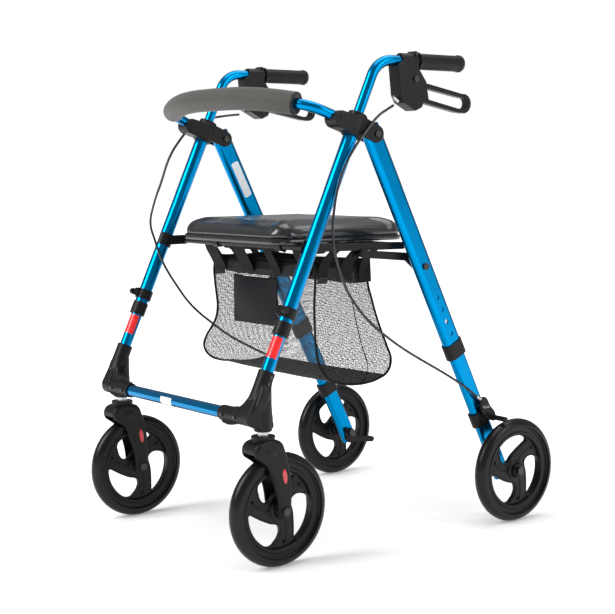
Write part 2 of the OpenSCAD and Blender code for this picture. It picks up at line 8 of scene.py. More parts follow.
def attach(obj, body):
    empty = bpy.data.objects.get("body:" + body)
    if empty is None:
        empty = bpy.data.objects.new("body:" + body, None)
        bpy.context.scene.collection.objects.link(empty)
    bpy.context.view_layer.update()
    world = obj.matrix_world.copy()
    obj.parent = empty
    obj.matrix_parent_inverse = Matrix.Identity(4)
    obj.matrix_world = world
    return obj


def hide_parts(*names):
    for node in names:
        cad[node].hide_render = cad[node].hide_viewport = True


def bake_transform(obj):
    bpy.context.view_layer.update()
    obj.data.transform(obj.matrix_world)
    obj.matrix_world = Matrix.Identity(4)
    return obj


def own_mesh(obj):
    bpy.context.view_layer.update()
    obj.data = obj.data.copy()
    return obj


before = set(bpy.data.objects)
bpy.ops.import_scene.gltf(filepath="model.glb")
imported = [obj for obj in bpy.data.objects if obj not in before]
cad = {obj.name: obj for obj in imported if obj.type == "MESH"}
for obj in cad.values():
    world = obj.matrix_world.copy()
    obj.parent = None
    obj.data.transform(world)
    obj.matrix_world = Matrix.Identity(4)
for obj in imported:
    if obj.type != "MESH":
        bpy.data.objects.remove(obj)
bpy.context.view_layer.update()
MM = 0.001
SIDES = (("left", 1), ("right", -1))
# places from the CAD, in millimetres
LEG_X = 234  # centre line of each side frame
PIN_Y = -300  # swivel pins of the casters
FRONT_Y, REAR_Y = -270, 270  # axles
AXLE_Z = 100
KNEE_Z = 320  # where a front leg's line meets its swivel pin
FRONT_LEAN, REAR_LEAN = 25, 26.82  # of the legs from upright, in degrees
GRIP_Y, HANDLE_Z = 50, 874
CROSSBAR_Y, CROSSBAR_Z = -325.78, 264.72

# ---- camera ----
# A long lens a little above the handles, looking down on the walker's front left.
eye = Vector((2.1083, -1.6676, 0.6881))
turn, dip, roll = (math.radians(a) for a in (51.98, 5.82, -0.42))
ahead = Vector((-math.sin(turn) * math.cos(dip), math.cos(turn) * math.cos(dip), -math.sin(dip)))
level = Vector((math.cos(turn), math.sin(turn), 0))
upward = level.cross(ahead)
across = level * math.cos(roll) + upward * math.sin(roll)
upward = upward * math.cos(roll) - level * math.sin(roll)
lens = bpy.data.cameras.new("camera")
lens.lens = 81.07
lens.sensor_width = 36
lens.sensor_fit = "HORIZONTAL"
lens.clip_end = 60
camera = bpy.data.objects.new("camera", lens)
camera.matrix_world = Matrix.Translation(eye) @ Matrix((across, upward, -ahead)).transposed().to_4x4()
bpy.context.scene.collection.objects.link(camera)
bpy.context.scene.camera = camera


# ---- studio ----
# A sheet of pale paper under the walker, a large soft box on each side and one overhead.
def srgb(code):
    """A hex colour as linear RGBA."""
    parts = [int(code[i : i + 2], 16) / 255 for i in (1, 3, 5)]
    return [p / 12.92 if p <= 0.04045 else ((p + 0.055) / 1.055) ** 2.4 for p in parts] + [1.0]


def node(tree, kind, inputs=None, **settings):
    """Adds a shader node, sets it, and fills its inputs with values or links."""
    made = tree.nodes.new("ShaderNode" + kind)
    for name, value in settings.items():
        setattr(made, name, value)
    for name, value in (inputs or {}).items():
        if isinstance(value, bpy.types.NodeSocket):
            tree.links.new(value, made.inputs[name])
        else:
            made.inputs[name].default_value = value
    return made


def finish(name, colour, roughness, **sockets):
    """A material with one surface shader. Returns it, its tree and its shader."""
    material = bpy.data.materials.new(name)
    material.use_nodes = True
    shader = material.node_tree.nodes["Principled BSDF"]
    shader.inputs["Base Color"].default_value = srgb(colour)
    shader.inputs["Roughness"].default_value = roughness
    for socket, value in sockets.items():
        shader.inputs[socket.replace("_", " ")].default_value = value
    return material, material.node_tree, shader


def piece(name, shape, material, body=None, crease=35):
    """Makes an object of a bmesh, shades it smooth up to the crease angle and rides it on a body."""
    bmesh.ops.recalc_face_normals(shape, faces=shape.faces)
    mesh = bpy.data.meshes.new(name)
    shape.to_mesh(mesh)
    shape.free()
    made = bpy.data.objects.new(name, mesh)
    bpy.context.scene.collection.objects.link(made)
    mesh.materials.append(material)
    mesh.shade_smooth()
    mesh.set_sharp_from_angle(angle=math.radians(crease))
    if body:
        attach(made, body)
    return made


paper, paper_tree, paper_shader = finish("paper_matt", "#F4F3F1", 0.85)
fibre = node(paper_tree, "TexNoise", {"Scale": 900.0, "Detail": 3.0})
tint = node(paper_tree, "ValToRGB", {"Fac": fibre.outputs["Fac"]})
tint.color_ramp.elements[0].color = srgb("#F1F0EE")
tint.color_ramp.elements[1].color = srgb("#F7F6F4")
paper_tree.links.new(tint.outputs["Color"], paper_shader.inputs["Base Color"])
# painted light: the flat sheet glows white, faintly under the walker and more with distance,
# so that beyond the walker it brightens into the lit white wall
spot = node(paper_tree, "TexCoord").outputs["Object"]
reach = node(paper_tree, "VectorMath", {0: spot}, operation="LENGTH")
span = {"Value": reach.outputs["Value"], "From Min": 0.3, "From Max": 1.7, "To Min": 0.2}
painted_glow = node(paper_tree, "MapRange", span)
paper_tree.links.new(painted_glow.outputs[0], paper_shader.inputs["Emission Strength"])
paper_shader.inputs["Emission Color"].default_value = srgb("#FFFFFF")
ground = bmesh.new()
bmesh.ops.create_grid(ground, x_segments=1, y_segments=1, size=30)
piece("floor", ground, paper)

bpy.context.scene.view_settings.view_transform = "Standard"
SKY = 0.36
world = bpy.data.worlds.new("studio")
world.use_nodes = True
bpy.context.scene.world = world
sky = world.node_tree
sky.nodes["Background"].inputs["Color"].default_value = srgb("#FBFCFF")
sky.nodes["Background"].inputs["Strength"].default_value = SKY
# what the lens sees beyond the paper is the lit white wall of the studio
wall = node(sky, "Background", {"Color": srgb("#FFFFFF"), "Strength": 1.0})
seen = node(sky, "MixShader", {
    0: node(sky, "LightPath").outputs["Is Camera Ray"],
    1: sky.nodes["Background"].outputs[0],
    2: wall.outputs[0],
})
sky.links.new(seen.outputs[0], sky.nodes["World Output"].inputs[0])

SOFT_BOXES = (
    ("key", (-0.6, -2.9, 2.6), (1.6, 2.2), 105),
    ("side", (2.9, 1.4, 1.9), (1.2, 2.0), 30),
    ("top", (0.0, 0.6, 3.2), (2.6, 2.6), 52),
)
for name, spot, (wide, tall), watts in SOFT_BOXES:
    lamp = bpy.data.lights.new(name, "AREA")
    lamp.shape = "RECTANGLE"
    lamp.size, lamp.size_y = wide, tall
    lamp.energy = watts
    box = bpy.data.objects.new(name, lamp)
    box.location = spot
    box.rotation_euler = (Vector((0, 0, 0.4)) - Vector(spot)).to_track_quat("-Z", "Y").to_euler()
    bpy.context.scene.collection.objects.link(box)


# ---- tubes ----
# Aluminium tubes, drawn, brushed fine and anodised blue: clear metallic glints with a dark edge,
# the brushing too fine to show except as a soft spread of the highlight.
def dress(material, *names):
    """Gives CAD parts their finish."""
    for name in names:
        cad[name].data.materials.clear()
        cad[name].data.materials.append(material)
        cad[name].data.shade_smooth()
        cad[name].data.set_sharp_from_angle(angle=math.radians(35))


BRUSHING = 1.4  # mm between brush marks, drawn coarser than the real 0.1 mm
anodised, tree, shader = finish("anodised_aluminium_blue", "#007CB4", 0.25, Metallic=1.0)
place = node(tree, "TexCoord").outputs["Object"]
marks = node(tree, "Mapping", {"Vector": place, "Scale": (1, 1, 0.05)})
scratch = node(tree, "TexNoise", {"Vector": marks.outputs[0], "Scale": 1000 / BRUSHING, "Detail": 2.0})
cloud = node(tree, "TexNoise", {"Vector": place, "Scale": 9.0, "Detail": 2.0})
dye = node(tree, "ValToRGB", {"Fac": cloud.outputs["Fac"]})
dye.color_ramp.elements[0].position, dye.color_ramp.elements[1].position = 0.3, 0.7
dye.color_ramp.elements[0].color = srgb("#0078AE")
dye.color_ramp.elements[1].color = srgb("#0082BC")
tree.links.new(dye.outputs["Color"], shader.inputs["Base Color"])
sheen = node(tree, "MapRange", {"Value": scratch.outputs["Fac"], "To Min": 0.24, "To Max": 0.265})
tree.links.new(sheen.outputs[0], shader.inputs["Roughness"])
dress(
    anodised, "front_leg_left", "front_leg_right", "handle_tubes", "backrest_tube", "lower_legs",
    "crossbar", "rear_leg_left", "rear_leg_right", "leg_extension_left", "leg_extension_right",
)


# ---- castings and moulded fittings ----
# Glass-filled nylon, injection moulded: near black, satin, with a fine spark-eroded grain and
# edges that are rounded by the mould. The grain is drawn at 0.8 mm, coarser than the real one.
def moulded(name, dark, light, roughness, grain, depth, **sockets):
    """A solid plastic or rubber with mottled colour, uneven gloss and a fine grain."""
    material, tree, shader = finish(name, dark, roughness, **sockets)
    place = node(tree, "TexCoord").outputs["Object"]
    mottle = node(tree, "TexNoise", {"Vector": place, "Scale": 45.0, "Detail": 4.0})
    shade = node(tree, "ValToRGB", {"Fac": mottle.outputs["Fac"]})
    shade.color_ramp.elements[0].position, shade.color_ramp.elements[1].position = 0.3, 0.75
    shade.color_ramp.elements[0].color = srgb(dark)
    shade.color_ramp.elements[1].color = srgb(light)
    tree.links.new(shade.outputs["Color"], shader.inputs["Base Color"])
    grit = node(tree, "TexNoise", {"Vector": place, "Scale": 1000 / grain, "Detail": 2.0})
    gloss = node(
        tree, "MapRange",
        {"Value": mottle.outputs["Fac"], "To Min": roughness - 0.06, "To Max": roughness + 0.06},
    )
    tree.links.new(gloss.outputs[0], shader.inputs["Roughness"])
    bump = node(tree, "Bump", {"Height": grit.outputs["Fac"], "Strength": 0.35, "Distance": depth * MM})
    tree.links.new(bump.outputs[0], shader.inputs["Normal"])
    return material


def settled(made):
    """Applies an object's modifiers to its mesh."""
    shaped = made.evaluated_get(bpy.context.evaluated_depsgraph_get())
    made.data = bpy.data.meshes.new_from_object(shaped)
    made.modifiers.clear()
    return made


def rounded(name, source, voxel, passes, material, body, extra=()):
    """The CAD part with the soft edges and fillets of a moulding, in place of the CAD part."""
    shape = bmesh.new()
    shape.from_mesh(cad[source].data)
    bmesh.ops.remove_doubles(shape, verts=shape.verts, dist=1e-6)
    for lump in extra:
        shape.from_mesh(lump)
    made = piece(name, shape, material, body)
    grid = made.modifiers.new("grid", "REMESH")
    grid.mode = "VOXEL"
    grid.voxel_size = voxel * MM
    grid.use_smooth_shade = True
    soften = made.modifiers.new("soften", "SMOOTH")
    soften.factor = 0.5
    soften.iterations = passes
    settled(made)
    made.data.shade_smooth()
    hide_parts(source)
    return made


def joined(shape, part, place=Matrix.Identity(4)):
    """Moves a part to its place and adds it to a shape."""
    bmesh.ops.transform(part, matrix=place, verts=part.verts)
    mesh = bpy.data.meshes.new("part")
    part.to_mesh(mesh)
    part.free()
    shape.from_mesh(mesh)
    bpy.data.meshes.remove(mesh)


def up_front_leg(side_x, station):
    """The axes of a front leg, that many millimetres up from its swivel pin."""
    return (
        Matrix.Translation((side_x * MM, PIN_Y * MM, KNEE_Z * MM))
        @ Matrix.Rotation(math.radians(-FRONT_LEAN), 4, "X") @ Matrix.Translation((0, 0, station * MM))
    )


nylon = moulded(
    "glass_filled_nylon_moulded", "#0B0B0B", "#111110", 0.42, 0.8, 0.05, Specular_IOR_Level=0.22
)
dress(
    nylon, "front_leg_sleeves", "height_clamps", "seat_lugs", "rear_leg_sleeves", "brake_clamp_left",
    "brake_clamp_right", "tip_lever_left", "tip_lever_right", "seat_board",
)
for side, sign in SIDES:
    rounded(
        "fold_bracket_cast_" + side, "fold_bracket_" + side, 1.2, 5, nylon, "frame"
    )
    rivets = bmesh.new()
    for across_leg, up_leg in ((-43, 477), (-6, 472), (6, 495)):
        for face in (-1, 1):
            head = bmesh.new()
            bmesh.ops.create_uvsphere(head, u_segments=20, v_segments=10, radius=1)
            bmesh.ops.scale(head, vec=(2.2 * MM, 4.5 * MM, 4.5 * MM), verts=head.verts)
            seat_at = Matrix.Translation((face * 16.3 * MM, across_leg * MM, up_leg * MM))
            joined(rivets, head, up_front_leg(sign * LEG_X, 0) @ seat_at)
    piece("fold_bracket_rivets_" + side, rivets, nylon, "frame")


# ---- bright hardware ----
# Swivel pins, spring buttons and cable ends in zinc-plated steel, bright and slightly cloudy, and
# axles, pivot bolts and screws in blackened steel.
zinc, tree, shader = finish("zinc_plated_steel", "#B9BBBE", 0.3, Metallic=1.0)
place = node(tree, "TexCoord").outputs["Object"]
bloom = node(tree, "TexNoise", {"Vector": place, "Scale": 220.0, "Detail": 3.0})
cloudy = node(tree, "MapRange", {"Value": bloom.outputs["Fac"], "To Min": 0.2, "To Max": 0.42})
tree.links.new(cloudy.outputs[0], shader.inputs["Roughness"])
dress(
    zinc, "cable_adjusters", "caster_stem_left", "caster_stem_right", "snap_button_left",
    "snap_button_right",
)
oxide = moulded("steel_black_oxide", "#0E0E0F", "#161617", 0.34, 0.6, 0.02, Specular_IOR_Level=0.6)
dress(
    oxide, "bracket_bolts", "lever_screws", "bracket_screws", "front_axle_left", "front_axle_right",
    "link_bolts", "rear_axle_left", "rear_axle_right",
)


# ---- wheels ----
# Solid polyurethane tyres bonded to moulded nylon centres. Each centre is a flat web with three
# comma-shaped openings, raised ribs along their edges, a stepped flange and a ribbed hub.
def turned(shape, profile, place, steps=64):
    """Adds a part turned from a closed profile of (radius, height) points in millimetres."""
    part = bmesh.new()
    ring = [part.verts.new((r * MM, 0, z * MM)) for r, z in profile]
    edges = [part.edges.new(pair) for pair in zip(ring, ring[1:])]
    if profile[0][0] > 0:
        edges.append(part.edges.new((ring[-1], ring[0])))
    bmesh.ops.spin(
        part, geom=ring + edges, cent=(0, 0, 0), axis=(0, 0, 1), angle=2 * math.pi, steps=steps,
        use_merge=True,
    )
    bmesh.ops.remove_doubles(part, verts=part.verts, dist=1e-6)
    bmesh.ops.recalc_face_normals(part, faces=part.faces)
    joined(shape, part, place)


def bent_curve(points, closed, kind="3D"):
    """A smooth curve through points in metres."""
    curve = bpy.data.curves.new("run", "CURVE")
    curve.dimensions = kind
    if kind == "3D":
        curve.resolution_u = 6
    add_run(curve, points, closed)
    return curve


def add_run(curve, points, closed):
    """Adds one smooth run of points to a curve."""
    run = curve.splines.new("BEZIER")
    run.bezier_points.add(len(points) - 1)
    for knot, point in zip(run.bezier_points, points):
        knot.co = (*point, 0)[:3]
        knot.handle_left_type = knot.handle_right_type = "AUTO"
    run.use_cyclic_u = closed


def curve_mesh(curve, shape, place=Matrix.Identity(4)):
    """Adds a curve, as a mesh, to a shape."""
    holder = bpy.data.objects.new("run", curve)
    bpy.context.scene.collection.objects.link(holder)
    part = bmesh.new()
    part.from_mesh(
        bpy.data.meshes.new_from_object(holder.evaluated_get(bpy.context.evaluated_depsgraph_get()))
    )
    bmesh.ops.remove_doubles(part, verts=part.verts, dist=1e-7)
    bmesh.ops.recalc_face_normals(part, faces=part.faces)
    bpy.data.objects.remove(holder)
    joined(shape, part, place)


def swept(shape, points, radius, closed=False, place=Matrix.Identity(4), sides=3):
    """Adds a round bar bent through points in metres, its radius in millimetres."""
    curve = bent_curve([tuple(p) for p in points], closed)
    curve.bevel_depth = radius * MM
    curve.bevel_resolution = sides
    curve.use_fill_caps = True
    curve_mesh(curve, shape, place)


def plate(shape, outlines, thick, edge, place):
    """Adds a flat plate with holes, its thickness and rounded edge in millimetres."""
    curve = bent_curve(outlines[0], True, "2D")
    for outline in outlines[1:]:
        add_run(curve, outline, True)
    curve.fill_mode = "BOTH"
    curve.resolution_u = 5
    curve.extrude = (thick / 2 - edge) * MM
    curve.bevel_depth = edge * MM
    curve.offset = -edge * MM
    curve.bevel_resolution = 2
    curve_mesh(curve, shape, place)


# one comma opening, from its blunt end round to its tip, as (radius mm, degrees)
COMMA = (
    (57, 141), (63, 136), (67, 127), (67.5, 112), (67.5, 98), (67.5, 84), (67.5, 70), (66, 63),
    (62, 60), (54, 64), (43, 75), (35, 90), (29.5, 108), (26, 128), (27.5, 146), (36, 153), (47, 149),
)


def polar(radius, angle):
    """A point in the wheel's plane, in metres."""
    return (radius * MM * math.cos(math.radians(angle)), radius * MM * math.sin(math.radians(angle)))


def in_wheel_plane(x, y, z=AXLE_Z):
    """Turns a shape drawn flat in X and Y so that X becomes the walker's Y and Y its Z."""
    return Matrix(((0, 0, 1, x * MM), (1, 0, 0, y * MM), (0, 1, 0, z * MM), (0, 0, 0, 1)))


tyre_skin = moulded(
    "polyurethane_tyre_cast", "#080809", "#0D0D0E", 0.32, 1.2, 0.04, Specular_IOR_Level=0.28
)
wheel_nylon = moulded(
    "wheel_nylon_moulded", "#080808", "#0D0D0D", 0.38, 0.8, 0.04, Specular_IOR_Level=0.24
)
FLANGE = (
    (67.5, -7), (69.5, -9.5), (74, -9.5), (75.5, -8), (84, -8), (86.3, -10.5), (86.3, 10.5), (84, 8),
    (75.5, 8), (74, 9.5), (69.5, 9.5), (67.5, 7),
)
WHEELS = (("front", LEG_X, FRONT_Y, 16.5, 4.1), ("rear", 275, REAR_Y, 15.5, 5.1))
for end, track, axle_y, half, bore in WHEELS:
    for side, sign in SIDES:
        where = in_wheel_plane(sign * track, axle_y)
        hub = (
            (bore, -half), (11.5, -half), (13, -half + 1.5), (14.5, -7), (20, -5), (20, 5), (14.5, 7),
            (13, half - 1.5), (11.5, half), (bore, half),
        )
        centre = bmesh.new()
        turned(centre, FLANGE, where)
        turned(centre, hub, where, 48)
        openings = [[polar(r, a + 120 * turn) for r, a in COMMA] for turn in range(3)]
        rim_edge = [polar(70, 20 * step) for step in range(18)]
        axle_hole = [polar(bore + 3, 60 * step) for step in range(6)]
        plate(centre, [rim_edge, axle_hole] + openings, 8, 1.0, where)
        for turn in range(3):
            for face in (-1, 1):
                heart = Vector((*polar(48, 105 + 120 * turn), 0))
                rib = []
                for r, a in COMMA:
                    brim = Vector((*polar(r, a + 120 * turn), 0)) - heart
                    brim.length += 1.3 * MM
                    rib.append((*(heart + brim).xy, face * 3.6 * MM))
                swept(centre, rib, 1.5, True, where, 2)
                spine = ((17, 186), (30, 178), (43, 170), (55, 164), (65, 160))
                swept(
                    centre, [(*polar(r, a + 120 * turn), face * 3.4 * MM) for r, a in spine], 1.8,
                    False, where, 2,
                )
                turned(
                    centre, ((0, 3.5), (3.2, 3.5), (3.2, 7), (2.2, 7.8), (0, 7.8)),
                    where @ Matrix.Translation((*polar(59, 160 + 120 * turn), 0))
                    @ Matrix.Rotation(0 if face > 0 else math.pi, 4, "X"), 16,
                )
        made = piece(
            f"{end}_wheel_centre_{side}", centre, wheel_nylon, f"{end}_wheel_{side}"
        )
        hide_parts(f"{end}_rim_{side}")
        dress(tyre_skin, f"{end}_tyre_{side}")


# ---- caster forks ----
# One-piece nylon forks: a bulging hood round the swivel pin that runs down into two flat blades,
# slotted for the wheel, with a turned crown on top and a red reflector pressed into each blade.
FORK = (
    (-318, 225), (-327, 220), (-331.5, 210), (-329, 199), (-320, 192), (-309, 184), (-299, 168),
    (-291, 147), (-286, 125), (-283.5, 105), (-281, 93), (-270, 87.5), (-259, 93), (-256, 105),
    (-254.5, 125), (-255, 150), (-258, 172), (-263, 192), (-268, 208), (-273, 219), (-281, 225),
)


def reflector_oval(tall, wide, thick, place):
    """The mesh of a small domed oval lens."""
    dome = bmesh.new()
    bmesh.ops.create_uvsphere(dome, u_segments=32, v_segments=16, radius=1)
    bmesh.ops.scale(dome, vec=(thick * MM, wide * MM, tall * MM), verts=dome.verts)
    shape = bmesh.new()
    joined(shape, dome, place)
    return shape


# moulded acrylic over a prismatic back: clear red with a bright, slightly broken reflection
red_lens, tree, shader = finish("red_acrylic_reflector", "#C81E28", 0.16, Coat_Weight=0.6)
place = node(tree, "TexCoord").outputs["Object"]
cells = node(tree, "TexVoronoi", {"Vector": place, "Scale": 1000 / 2.2}, feature="F1")
facet = node(tree, "ValToRGB", {"Fac": cells.outputs["Distance"]})
facet.color_ramp.elements[0].color = srgb("#DC2430")
facet.color_ramp.elements[1].color = srgb("#B41620")
tree.links.new(facet.outputs["Color"], shader.inputs["Base Color"])

for side, sign in SIDES:
    blank = bmesh.new()
    plate(blank, [[(y * MM, z * MM) for y, z in FORK]], 47, 6.5, in_wheel_plane(sign * LEG_X, 0, 0))
    dome = bmesh.new()
    bmesh.ops.create_uvsphere(dome, u_segments=48, v_segments=24, radius=1)
    bmesh.ops.scale(dome, vec=(26 * MM, 30 * MM, 21 * MM), verts=dome.verts)
    joined(blank, dome, Matrix.Translation((sign * LEG_X * MM, PIN_Y * MM, 207 * MM)))
    hood = piece("caster_fork_hood_" + side, blank, nylon, "caster_" + side)
    fuse = hood.modifiers.new("fuse", "REMESH")
    fuse.mode = "VOXEL"
    fuse.voxel_size = 1.2 * MM
    flow = hood.modifiers.new("flow", "SMOOTH")
    flow.factor, flow.iterations = 0.5, 12
    settled(hood)
    slot_cut = bmesh.new()
    bmesh.ops.create_cube(slot_cut, size=1)
    bmesh.ops.scale(slot_cut, vec=(33.4 * MM, 120 * MM, 200 * MM), verts=slot_cut.verts)
    bmesh.ops.translate(slot_cut, vec=(sign * LEG_X * MM, -290 * MM, 104.5 * MM), verts=slot_cut.verts)
    cutter = piece("fork_slot", slot_cut, nylon)
    cut = hood.modifiers.new("slot", "BOOLEAN")
    cut.operation = "DIFFERENCE"
    cut.object = cutter
    settled(hood)
    bpy.data.objects.remove(cutter)
    crowned = bmesh.new()
    crowned.from_mesh(hood.data)
    crown = (
        (5.1, 222), (20, 222), (20.8, 223.5), (20.8, 226), (19.6, 226.8), (19.6, 228), (20.8, 228.8),
        (20.8, 232), (19.8, 233), (5.1, 233),
    )
    turned(crowned, crown, Matrix.Translation((sign * LEG_X * MM, PIN_Y * MM, 0)), 64)
    for face in (-1, 1):
        boss = Matrix.Translation(((sign * LEG_X + face * 22.5) * MM, FRONT_Y * MM, AXLE_Z * MM))
        turned(
            crowned, ((4.2, -1), (11, -1), (11, 1.2), (10.2, 2), (4.2, 2)),
            boss @ Matrix.Rotation(face * math.pi / 2, 4, "Y"), 40,
        )
    crowned.to_mesh(hood.data)
    crowned.free()
    hood.data.shade_smooth()
    hood.data.set_sharp_from_angle(angle=math.radians(40))
    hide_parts("caster_fork_" + side)
    for face, label in ((-1, "a"), (1, "b")):
        lean = Matrix.Translation(((sign * LEG_X + face * 23.2) * MM, -271.5 * MM, 162 * MM))
        lens_shape = reflector_oval(13.5, 4.6, 1.6, lean @ Matrix.Rotation(math.radians(8), 4, "X"))
        piece(f"fork_reflector_{label}_{side}", lens_shape, red_lens, "caster_" + side)


# ---- front castings ----
# Die-cast brackets, painted satin black, that join the leg, the crossbar and the swivel pin. A
# curved web sweeps from the crossbar socket up to the leg, and another down to the pin housing.
def web(points, thick, place):
    """The mesh of a curved stiffening web."""
    shape = bmesh.new()
    plate(shape, [points], thick, 1.5, place)
    mesh = bpy.data.meshes.new("web")
    shape.to_mesh(mesh)
    shape.free()
    return mesh


for side, sign in SIDES:
    sweep_x = [
        (165, 256), (172, 276), (190, 277), (204, 283), (214, 294), (221, 310), (226, 330), (238, 335),
        (240, 262), (215, 254), (180, 250),
    ]
    slope = math.tan(math.radians(FRONT_LEAN))
    leaning = Matrix(((sign, 0, 0, 0), (0, slope, 1, -0.449), (0, 1, 0, 0), (0, 0, 0, 1)))
    gusset = web([(x * MM, z * MM) for x, z in sweep_x], 20, leaning)
    rounded(
        "caster_bracket_cast_" + side, "caster_bracket_" + side, 1.3, 10, nylon, "front_base",
        [gusset],
    )


# ---- leg trim ----
# Retro-reflective tape round the front of each lower leg, a strip down the back of each rear leg,
# a plain printed label on one rear leg and a plain maker's patch on the crossbar.
tape_red, tree, shader = finish("reflective_tape_red", "#E8141A", 0.34, Coat_Weight=0.35)
place = node(tree, "TexCoord").outputs["Object"]
honeycomb = node(tree, "TexVoronoi", {"Vector": place, "Scale": 1000 / 3.0}, feature="DISTANCE_TO_EDGE")
cell = node(tree, "ValToRGB", {"Fac": honeycomb.outputs["Distance"]})
cell.color_ramp.elements[0].color, cell.color_ramp.elements[1].color = srgb("#C80F14"), srgb("#F01C22")
cell.color_ramp.elements[1].position = 0.12
tree.links.new(cell.outputs["Color"], shader.inputs["Base Color"])
film, tree, shader = finish("printed_film_white", "#E9EEF2", 0.4)
place = node(tree, "TexCoord").outputs["Object"]
haze = node(tree, "TexNoise", {"Vector": place, "Scale": 70.0})
print_tone = node(tree, "ValToRGB", {"Fac": haze.outputs["Fac"]})
print_tone.color_ramp.elements[0].color = srgb("#D9E2EA")
print_tone.color_ramp.elements[1].color = srgb("#F2F5F7")
tree.links.new(print_tone.outputs["Color"], shader.inputs["Base Color"])


def wrapped(radius, tall, middle, spread, place):
    """A thin patch wrapped round a tube: its middle direction and spread in degrees."""
    shape = bmesh.new()
    part = bmesh.new()
    ring = [part.verts.new((radius * MM, 0, z * MM)) for z in (0, tall)]
    start = Matrix.Rotation(math.radians(middle - spread / 2), 4, "Z")
    edges = [part.edges.new(ring)]
    bmesh.ops.transform(part, matrix=start, verts=part.verts)
    bmesh.ops.spin(
        part, geom=ring + edges, cent=(0, 0, 0), axis=(0, 0, 1), angle=math.radians(spread), steps=24
    )
    bmesh.ops.recalc_face_normals(part, faces=part.faces)
    bmesh.ops.solidify(part, geom=part.faces[:], thickness=-0.00015)
    joined(shape, part, place)
    return shape


def up_rear_leg(side_x, station):
    """The axes of a rear leg, that many millimetres up from its axle."""
    return (
        Matrix.Translation((side_x * MM, REAR_Y * MM, AXLE_Z * MM))
        @ Matrix.Rotation(math.radians(REAR_LEAN), 4, "X") @ Matrix.Translation((0, 0, station * MM))
    )


for side, sign in SIDES:
    tape = wrapped(10.92, 38, -70, 150, up_front_leg(sign * LEG_X, 47))
    piece("leg_tape_" + side, tape, tape_red, "front_base")
    down_back = up_rear_leg(sign * LEG_X, 38) @ Matrix.Translation((0, 9.9 * MM, 0))
    strip = wrapped(8.6, 40, 90, 70, down_back)
    piece("rear_leg_tape_" + side, strip, tape_red, "rear_foot_" + side)
label, leaf = bmesh.new(), bmesh.new()
bmesh.ops.create_cube(leaf, size=1)
bmesh.ops.scale(leaf, vec=(0.3 * MM, 18 * MM, 78 * MM), verts=leaf.verts)
corners = [e for e in leaf.edges if abs(e.verts[0].co.x - e.verts[1].co.x) > 1e-5]
bmesh.ops.bevel(leaf, geom=corners, offset=2 * MM, segments=4, affect="EDGES")
joined(label, leaf, up_rear_leg(-LEG_X, 629) @ Matrix.Translation((10.1 * MM, 0, 0)))
piece("leg_label", label, film, "rear_legs")
along_bar = Matrix.Rotation(math.pi / 2, 4, "Y")
on_bar = Matrix.Translation((-0.034, CROSSBAR_Y * MM, CROSSBAR_Z * MM)) @ along_bar
patch = wrapped(11.15, 36, -84, 76, on_bar)
piece("crossbar_patch", patch, film, "front_base")


# ---- rear feet ----
# The brake hardware on each rear leg: a stamped arm with its shoe, and a bright return spring.
ARM = ((204, 243), (212, 246), (228, 227), (242, 209), (240, 200), (228, 199), (208, 214), (203, 228))
COIL_R, COIL_RISE, COIL_Y, COIL_Z = 3.4, 0.55, 207, 226


for side, sign in SIDES:
    cheek = web([(y * MM, z * MM) for y, z in ARM], 6, in_wheel_plane(sign * 251, 0, 0))
    rounded(
        "brake_arm_pressed_" + side, "brake_arm_" + side, 0.8, 4, nylon, "brake_arm_" + side,
        [cheek],
    )
    coil = bmesh.new()
    turns = []
    for step in range(31):
        a = step * math.pi / 3
        x, z = 251 + COIL_R * math.cos(a), COIL_Z + COIL_R * math.sin(a)
        turns.append((sign * x * MM, (COIL_Y + COIL_RISE * step) * MM, z * MM))
    swept(coil, turns, 0.7, sides=1)
    piece("brake_spring_" + side, coil, zinc, "rear_foot_" + side)


# ---- backrest ----
# A sleeve of closed-cell foam over the bowed tube: dark warm grey, soft sheen, a faint skin, with
# a black moulded plug in each end.
foam = moulded(
    "eva_foam_skinned", "#302E2A", "#3A3732", 0.66, 1.6, 0.12, Sheen_Weight=0.15, Sheen_Roughness=0.5
)
BOW_HALF, BOW_R, BOW_SPREAD = 39.65, 340, 27
bow = (
    Matrix.Translation((0, -228.8 * MM, 808.8 * MM)) @ Matrix.Rotation(math.radians(-21), 4, "X")
)
right_half = [
    (
        (BOW_HALF + BOW_R * math.sin(math.radians(a))) * MM,
        BOW_R * (1 - math.cos(math.radians(a))) * MM,
        0,
    )
    for a in (0, 5.4, 10.8, 16.2, 21.6, BOW_SPREAD)
]
bow_line = [(-x, y, z) for x, y, z in reversed(right_half)] + right_half
sleeve_shape = bmesh.new()
swept(sleeve_shape, bow_line, 20.6, place=bow, sides=12)
sleeve = piece("backrest_sleeve", sleeve_shape, foam, "frame", 50)
ends = sleeve.modifiers.new("ends", "BEVEL")
ends.width = 2.5 * MM
ends.segments = 3
ends.limit_method = "ANGLE"
ends.angle_limit = math.radians(60)
settled(sleeve)
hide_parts("backrest_foam")
plug_shape = bmesh.new()
for hand in (-1, 1):
    x, y, z = right_half[-1]
    splay = Matrix.Rotation(hand * math.radians(BOW_SPREAD), 4, "Z")
    tip = bow @ Matrix.Translation((hand * x, y, z)) @ splay
    turned(
        plug_shape, ((9.7, -2), (20.2, -2), (20.2, 2.4), (19, 3.4), (11, 3.4), (9.7, 2.6)),
        tip @ Matrix.Rotation(hand * math.pi / 2, 4, "Y"), 64,
    )
piece("backrest_plugs", plug_shape, nylon, "frame")


